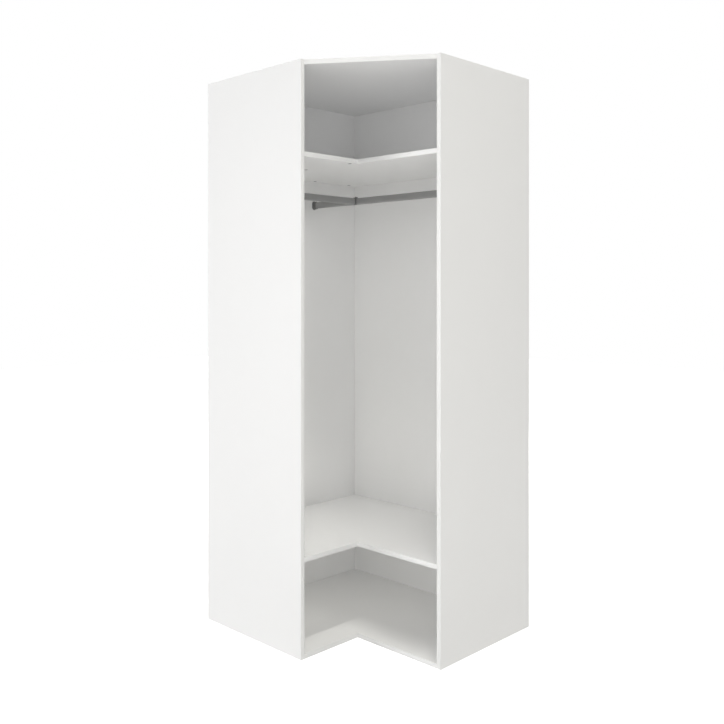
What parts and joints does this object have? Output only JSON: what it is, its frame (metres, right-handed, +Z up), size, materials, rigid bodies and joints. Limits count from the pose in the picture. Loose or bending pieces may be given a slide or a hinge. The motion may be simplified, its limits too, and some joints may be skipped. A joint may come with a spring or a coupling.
{
  "type": "corner wardrobe",
  "caption": "Open corner wardrobe of white board: unequal arms meeting in a room corner, L-shaped shelves, crossing clothes rails, and cam locks that turn under the shelves.",
  "frame": {"origin": "on the floor, below the centre of the overall box", "axes": "+Z up; the right-hand wall is at +Y and the left-hand wall at -X, so the room corner is at -X +Y and the open notch of the L faces +X -Y"},
  "size_m": [1, 0.885, 2.25],
  "materials": {
    "melamine": "chipboard faced with matt white melamine, with thin white edging",
    "rail": "satin-plated steel tube",
    "steel": "bright zinc-plated steel",
    "cast_zinc": "dull cast zinc",
    "satin_zinc": "cast zinc with the rails' satin plating",
    "black_steel": "steel screw with a black zinc coating"
  },
  "bodies": {
    "carcass": {"left_back_panel": "melamine", "right_back_panel": "melamine", "left_end_panel": "melamine", "right_end_panel": "melamine", "top_panel": "melamine", "base_long_board": "melamine", "base_short_board": "melamine", "lower_shelf_long_board": "melamine", "lower_shelf_short_board": "melamine", "upper_shelf_long_board": "melamine", "upper_shelf_short_board": "melamine", "long_rail": "rail", "short_rail": "rail", "long_rail_left_socket": "satin_zinc", "long_rail_right_socket": "satin_zinc", "short_rail_socket": "satin_zinc", "long_rail_left_socket_screw_upper": "steel", "long_rail_left_socket_screw_lower": "steel", "long_rail_right_socket_screw_upper": "steel", "long_rail_right_socket_screw_lower": "steel", "short_rail_socket_screw_upper": "steel", "short_rail_socket_screw_lower": "steel", "rail_saddle": "satin_zinc", "rail_saddle_screw": "black_steel", "lower_shelf_back_bolt_rear": "steel", "lower_shelf_back_bolt_middle": "steel", "lower_shelf_back_bolt_front": "steel", "lower_shelf_right_bolt_middle": "steel", "lower_shelf_joint_bolt_rear": "steel", "lower_shelf_joint_bolt_middle": "steel", "lower_shelf_joint_bolt_front": "steel", "lower_shelf_left_bolt_middle": "steel", "upper_shelf_back_bolt_rear": "steel", "upper_shelf_back_bolt_middle": "steel", "upper_shelf_back_bolt_front": "steel", "upper_shelf_right_bolt_middle": "steel", "upper_shelf_joint_bolt_rear": "steel", "upper_shelf_joint_bolt_middle": "steel", "upper_shelf_joint_bolt_front": "steel", "upper_shelf_left_bolt_middle": "steel"},
    "lower_back_cam_rear": {"lower_shelf_back_cam_rear": "cast_zinc"},
    "lower_back_cam_middle": {"lower_shelf_back_cam_middle": "cast_zinc"},
    "lower_back_cam_front": {"lower_shelf_back_cam_front": "cast_zinc"},
    "lower_right_cam": {"lower_shelf_right_cam_middle": "cast_zinc"},
    "lower_joint_cam_rear": {"lower_shelf_joint_cam_rear": "cast_zinc"},
    "lower_joint_cam_middle": {"lower_shelf_joint_cam_middle": "cast_zinc"},
    "lower_joint_cam_front": {"lower_shelf_joint_cam_front": "cast_zinc"},
    "lower_left_cam": {"lower_shelf_left_cam_middle": "cast_zinc"},
    "upper_back_cam_rear": {"upper_shelf_back_cam_rear": "cast_zinc"},
    "upper_back_cam_middle": {"upper_shelf_back_cam_middle": "cast_zinc"},
    "upper_back_cam_front": {"upper_shelf_back_cam_front": "cast_zinc"},
    "upper_right_cam": {"upper_shelf_right_cam_middle": "cast_zinc"},
    "upper_joint_cam_rear": {"upper_shelf_joint_cam_rear": "cast_zinc"},
    "upper_joint_cam_middle": {"upper_shelf_joint_cam_middle": "cast_zinc"},
    "upper_joint_cam_front": {"upper_shelf_joint_cam_front": "cast_zinc"},
    "upper_left_cam": {"upper_shelf_left_cam_middle": "cast_zinc"}
  },
  "joints": [
    {"name": "lower_back_cam_rear_turn", "type": "hinge", "parent": "carcass", "child": "lower_back_cam_rear", "pos_m": [-0.458, 0.3605, 0.363], "axis": [0, 0, -1], "range_deg": [0, 180]},
    {"name": "lower_back_cam_middle_turn", "type": "hinge", "parent": "carcass", "child": "lower_back_cam_middle", "pos_m": [-0.458, 0.1365, 0.363], "axis": [0, 0, -1], "range_deg": [0, 180]},
    {"name": "lower_back_cam_front_turn", "type": "hinge", "parent": "carcass", "child": "lower_back_cam_front", "pos_m": [-0.458, -0.0875, 0.363], "axis": [0, 0, -1], "range_deg": [0, 180]},
    {"name": "lower_right_cam_turn", "type": "hinge", "parent": "carcass", "child": "lower_right_cam", "pos_m": [0.458, 0.1365, 0.363], "axis": [0, 0, -1], "range_deg": [0, 180]},
    {"name": "lower_joint_cam_rear_turn", "type": "hinge", "parent": "carcass", "child": "lower_joint_cam_rear", "pos_m": [-0.452, -0.1615, 0.363], "axis": [0, 0, -1], "range_deg": [0, 180]},
    {"name": "lower_joint_cam_middle_turn", "type": "hinge", "parent": "carcass", "child": "lower_joint_cam_middle", "pos_m": [-0.196, -0.1615, 0.363], "axis": [0, 0, -1], "range_deg": [0, 180]},
    {"name": "lower_joint_cam_front_turn", "type": "hinge", "parent": "carcass", "child": "lower_joint_cam_front", "pos_m": [0.06, -0.1615, 0.363], "axis": [0, 0, -1], "range_deg": [0, 180]},
    {"name": "lower_left_cam_turn", "type": "hinge", "parent": "carcass", "child": "lower_left_cam", "pos_m": [-0.196, -0.4005, 0.363], "axis": [0, 0, -1], "range_deg": [0, 180]},
    {"name": "upper_back_cam_rear_turn", "type": "hinge", "parent": "carcass", "child": "upper_back_cam_rear", "pos_m": [-0.458, 0.3605, 1.887], "axis": [0, 0, -1], "range_deg": [0, 180]},
    {"name": "upper_back_cam_middle_turn", "type": "hinge", "parent": "carcass", "child": "upper_back_cam_middle", "pos_m": [-0.458, 0.1365, 1.887], "axis": [0, 0, -1], "range_deg": [0, 180]},
    {"name": "upper_back_cam_front_turn", "type": "hinge", "parent": "carcass", "child": "upper_back_cam_front", "pos_m": [-0.458, -0.0875, 1.887], "axis": [0, 0, -1], "range_deg": [0, 180]},
    {"name": "upper_right_cam_turn", "type": "hinge", "parent": "carcass", "child": "upper_right_cam", "pos_m": [0.458, 0.1365, 1.887], "axis": [0, 0, -1], "range_deg": [0, 180]},
    {"name": "upper_joint_cam_rear_turn", "type": "hinge", "parent": "carcass", "child": "upper_joint_cam_rear", "pos_m": [-0.452, -0.1615, 1.887], "axis": [0, 0, -1], "range_deg": [0, 180]},
    {"name": "upper_joint_cam_middle_turn", "type": "hinge", "parent": "carcass", "child": "upper_joint_cam_middle", "pos_m": [-0.196, -0.1615, 1.887], "axis": [0, 0, -1], "range_deg": [0, 180]},
    {"name": "upper_joint_cam_front_turn", "type": "hinge", "parent": "carcass", "child": "upper_joint_cam_front", "pos_m": [0.06, -0.1615, 1.887], "axis": [0, 0, -1], "range_deg": [0, 180]},
    {"name": "upper_left_cam_turn", "type": "hinge", "parent": "carcass", "child": "upper_left_cam", "pos_m": [-0.196, -0.4005, 1.887], "axis": [0, 0, -1], "range_deg": [0, 180]}
  ]
}
